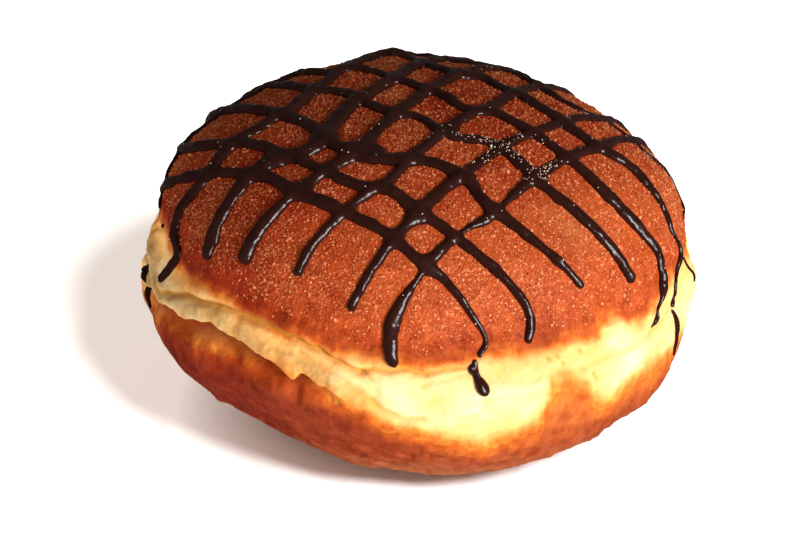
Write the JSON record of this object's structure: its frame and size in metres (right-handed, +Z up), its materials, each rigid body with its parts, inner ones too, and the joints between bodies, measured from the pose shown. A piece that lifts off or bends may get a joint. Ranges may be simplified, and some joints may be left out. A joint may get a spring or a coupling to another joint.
{
  "type": "filled doughnut",
  "caption": "Round fried bun with brown crusts, a pale wrinkled waist and a lattice of chocolate drizzle over the top; food to pick up whole.",
  "frame": {"origin": "on the surface the doughnut rests on, under the middle of its outline", "axes": "+Z up through the doughnut; -Y is the side that faces the picture's camera, +X to that camera's right"},
  "size_m": [0.0913, 0.0903, 0.056],
  "materials": {
    "dough": "fried dough, red-brown and sugared on the crusts, pale yellow round the waist, with glossy dark chocolate drizzle"
  },
  "bodies": {
    "root": {"doughnut": "dough"}
  },
  "joints": []
}
